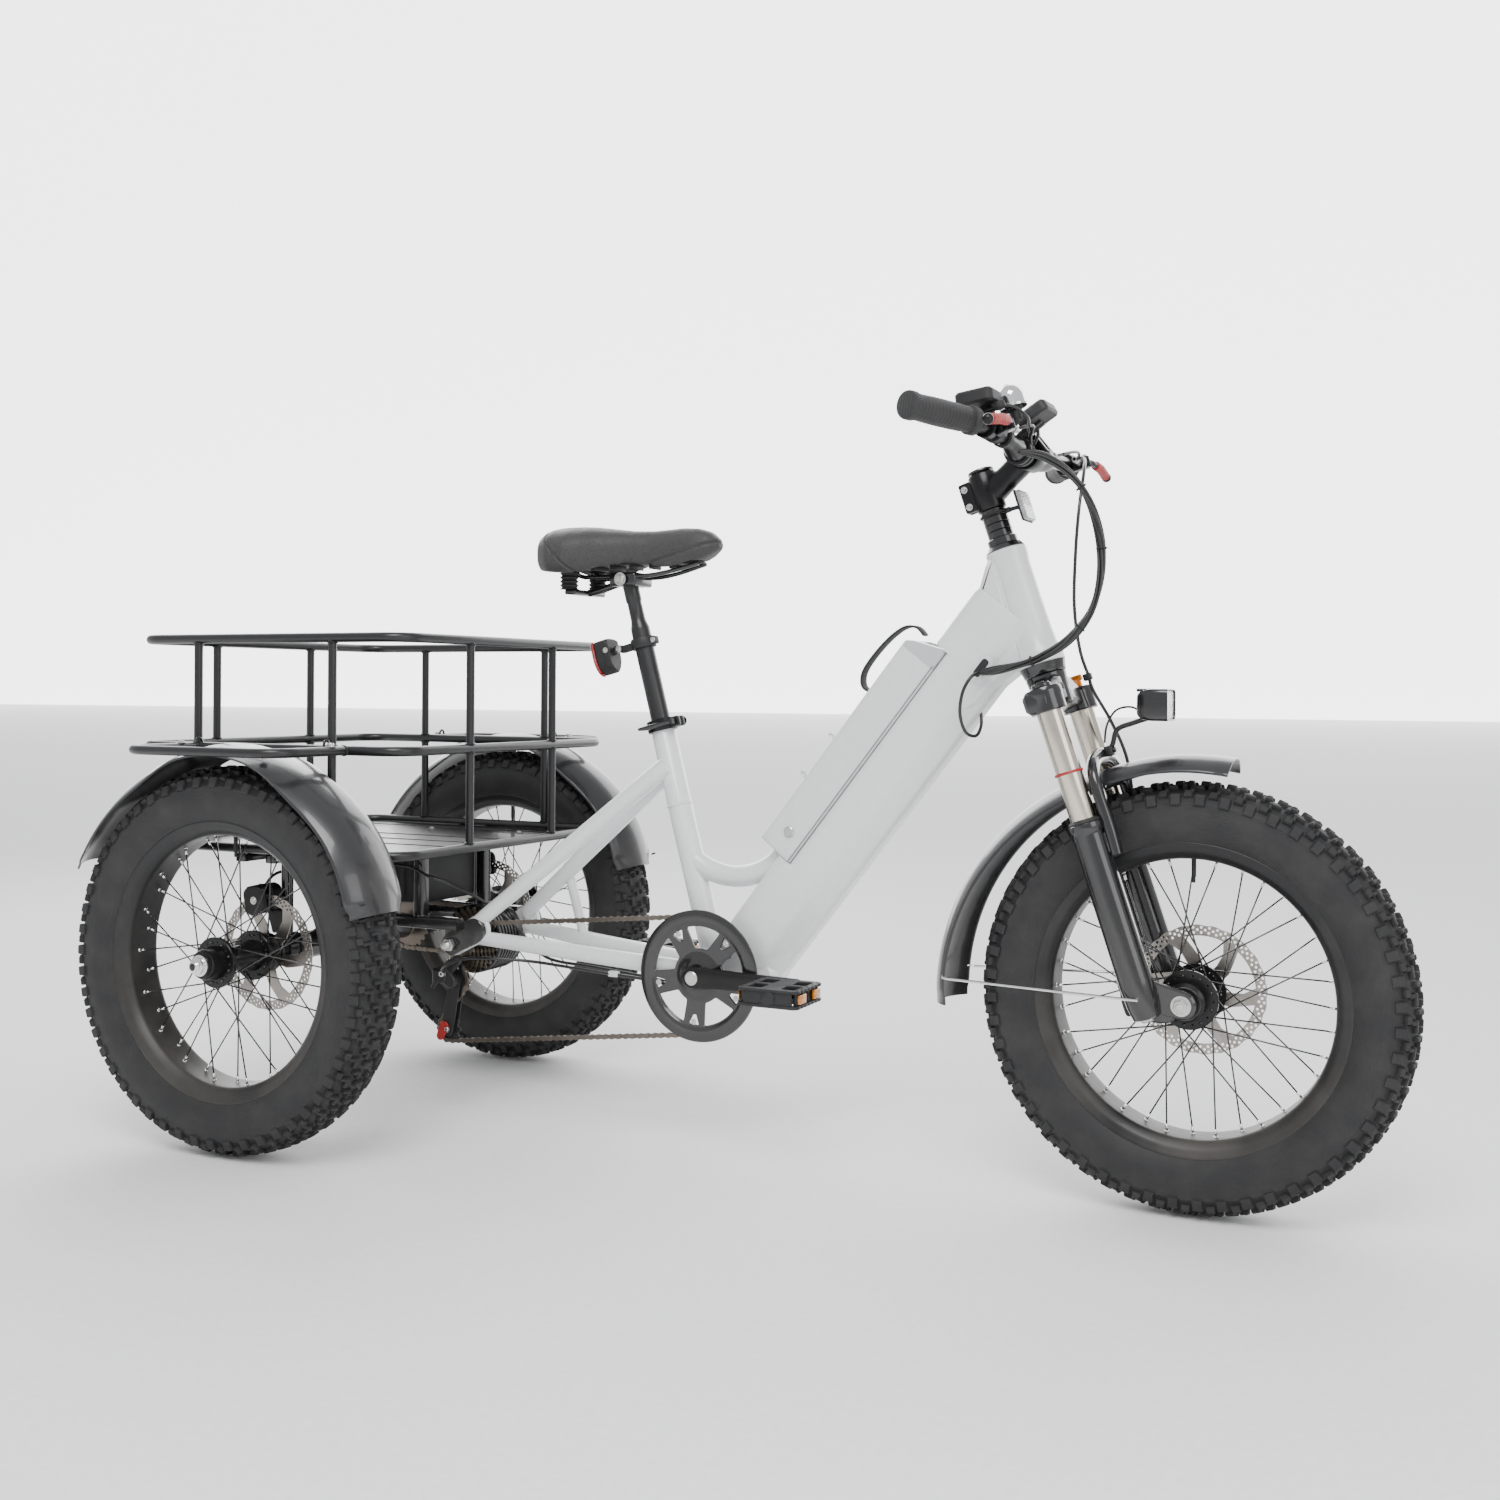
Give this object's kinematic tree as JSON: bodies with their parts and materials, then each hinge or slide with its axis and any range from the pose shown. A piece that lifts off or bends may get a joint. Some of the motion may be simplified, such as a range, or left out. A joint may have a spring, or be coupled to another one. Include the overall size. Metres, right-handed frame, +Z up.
{
  "type": "adult tricycle",
  "caption": "Electric adult tricycle with fat tyres, low step-through frame, a suspension fork, disc brakes and a cargo basket between its rear wheels.",
  "frame": {"origin": "on the ground, halfway along and midway across the tricycle", "axes": "+X towards the front wheel, +Y to the rider's left, +Z up"},
  "size_m": [1.945, 0.8902, 1.1144],
  "materials": {
    "frame_paint": "gloss",
    "black_paint": "satin",
    "battery_case": "gloss",
    "steel": "brushed",
    "black_alloy": "satin",
    "fender": "gloss",
    "black_plastic": "matte",
    "chain": "satin",
    "saddle_cover": "matte",
    "grip": "matte",
    "tyre": "matte",
    "bell_chrome": "polished",
    "orange": "anodised",
    "clear": "clear",
    "cable": "satin"
  },
  "bodies": {
    "frame": {"main_frame": "frame_paint", "rear_subframe": "black_paint", "battery": "battery_case", "headset": "black_alloy", "bottom_bracket": "steel", "seat_collar": "black_alloy", "basket": "black_paint", "basket_floor": "black_plastic", "controller_box": "black_plastic", "right_fender": "fender", "left_fender": "fender", "rear_calipers": "black_alloy", "chains": "chain", "derailleur": "black_plastic", "frame_cables": "cable", "cable_bundle": "cable"},
    "seat": {"seat_post": "black_alloy", "saddle": "saddle_cover", "saddle_rails": "steel", "tail_light": "black_plastic"},
    "seat_clamp_lever": {"seat_lever": "steel"},
    "steer": {"fork_crown": "black_alloy", "stem": "black_alloy", "handlebar": "black_alloy", "grips": "grip", "display": "black_plastic", "bell": "bell_chrome", "reflector": "clear", "brake_mounts": "black_alloy", "shifter_body": "black_plastic"},
    "right_brake": {"right_brake_lever": "black_alloy"},
    "left_brake": {"left_brake_lever": "black_alloy"},
    "shifter": {"shifter_lever": "black_plastic"},
    "striker": {"bell_striker": "black_alloy"},
    "lockout": {"lockout_knob": "orange"},
    "lowers": {"fork_lowers": "black_alloy", "front_fender": "fender", "headlight": "fender", "front_caliper": "black_alloy"},
    "front_wheel": {"front_tyre": "tyre", "front_rim": "black_alloy", "front_hub": "black_alloy", "front_rotor": "steel"},
    "right_wheel": {"right_tyre": "tyre", "right_rim": "black_alloy", "right_hub": "black_alloy", "right_rotor": "steel"},
    "left_wheel": {"left_tyre": "tyre", "left_rim": "black_alloy", "left_hub": "black_alloy", "left_rotor": "steel"},
    "crank": {"chainring": "black_paint", "right_crank": "black_alloy", "left_crank": "black_alloy"},
    "right_pedal": {"right_pedal": "black_plastic"},
    "left_pedal": {"left_pedal": "black_plastic"},
    "cassette": {"cassette": "steel"},
    "mid_hub": {"mid_hub": "black_alloy"},
    "upper_pulley": {"upper_pulley": "black_plastic"},
    "lower_pulley": {"lower_pulley": "black_plastic"}
  },
  "joints": [
    {"name": "steering", "type": "hinge", "parent": "frame", "child": "steer", "pos_m": [0.62408, 0, 0.27318], "axis": [-0.319, 0, 0.9478], "range_deg": [-50, 50], "deforming": ["cable_bundle"]},
    {"name": "fork_travel", "type": "slide", "parent": "steer", "child": "lowers", "axis": [-0.319, 0, 0.9478], "range_m": [0, 0.06], "stiffness_N_per_m": 6000, "springref_m": -0.05},
    {"name": "front_wheel_spin", "type": "hinge", "parent": "lowers", "child": "front_wheel", "pos_m": [0.68, 0, 0.292], "axis": [0, 1, 0], "continuous": true},
    {"name": "right_wheel_spin", "type": "hinge", "parent": "frame", "child": "right_wheel", "pos_m": [-0.68, 0, 0.292], "axis": [0, 1, 0], "continuous": true},
    {"name": "left_wheel_spin", "type": "hinge", "parent": "frame", "child": "left_wheel", "pos_m": [-0.68, 0, 0.292], "axis": [0, 1, 0], "continuous": true},
    {"name": "mid_hub_spin", "type": "hinge", "parent": "frame", "child": "mid_hub", "pos_m": [-0.49, 0, 0.289], "axis": [0, 1, 0], "continuous": true},
    {"name": "crank_spin", "type": "hinge", "parent": "frame", "child": "crank", "pos_m": [-0.047, 0, 0.27], "axis": [0, 1, 0], "continuous": true},
    {"name": "cassette_spin", "type": "hinge", "parent": "frame", "child": "cassette", "pos_m": [-0.49, 0, 0.289], "axis": [0, 1, 0], "continuous": true},
    {"name": "upper_pulley_spin", "type": "hinge", "parent": "frame", "child": "upper_pulley", "pos_m": [-0.497, 0, 0.226], "axis": [0, 1, 0], "continuous": true},
    {"name": "lower_pulley_spin", "type": "hinge", "parent": "frame", "child": "lower_pulley", "pos_m": [-0.512, 0, 0.146], "axis": [0, 1, 0], "continuous": true},
    {"name": "right_pedal_spin", "type": "hinge", "parent": "crank", "child": "right_pedal", "pos_m": [0.123, -0.18, 0.27], "axis": [0, 1, 0], "continuous": true},
    {"name": "left_pedal_spin", "type": "hinge", "parent": "crank", "child": "left_pedal", "pos_m": [-0.217, 0.18, 0.27], "axis": [0, 1, 0], "continuous": true},
    {"name": "seat_height", "type": "slide", "parent": "frame", "child": "seat", "axis": [-0.2588, 0, 0.9659], "range_m": [-0.08, 0.05]},
    {"name": "seat_lever_turn", "type": "hinge", "parent": "frame", "child": "seat_clamp_lever", "pos_m": [-0.1187, -0.022, 0.6535], "axis": [-0.2588, 0, 0.9659], "range_deg": [0, 150]},
    {"name": "right_brake_squeeze", "type": "hinge", "parent": "steer", "child": "right_brake", "pos_m": [0.47638, -0.192, 1.05068], "axis": [0.319, 0, -0.9478], "range_deg": [0, 18], "stiffness_Nm_per_rad": 2},
    {"name": "left_brake_squeeze", "type": "hinge", "parent": "steer", "child": "left_brake", "pos_m": [0.47638, 0.192, 1.05068], "axis": [-0.319, 0, 0.9478], "range_deg": [0, 18], "stiffness_Nm_per_rad": 2},
    {"name": "shifter_push", "type": "hinge", "parent": "steer", "child": "shifter", "pos_m": [0.4605, -0.182, 1.0728], "axis": [-0.319, 0, 0.9478], "range_deg": [0, 20], "stiffness_Nm_per_rad": 0.3},
    {"name": "bell_strike", "type": "hinge", "parent": "steer", "child": "striker", "pos_m": [0.4606, -0.128, 1.0876], "axis": [-0.319, 0, 0.9478], "range_deg": [0, 25], "stiffness_Nm_per_rad": 0.1},
    {"name": "lockout_turn", "type": "hinge", "parent": "steer", "child": "lockout", "pos_m": [0.49096, 0.083, 0.70635], "axis": [-0.319, 0, 0.9478], "range_deg": [0, 90]}
  ],
  "couplings": [
    {"joint": "mid_hub_spin", "follows": "left_wheel_spin", "ratio": 1},
    {"joint": "cassette_spin", "follows": "crank_spin", "ratio": 3.1429},
    {"joint": "upper_pulley_spin", "follows": "crank_spin", "ratio": -4.4},
    {"joint": "lower_pulley_spin", "follows": "crank_spin", "ratio": 4.4}
  ]
}
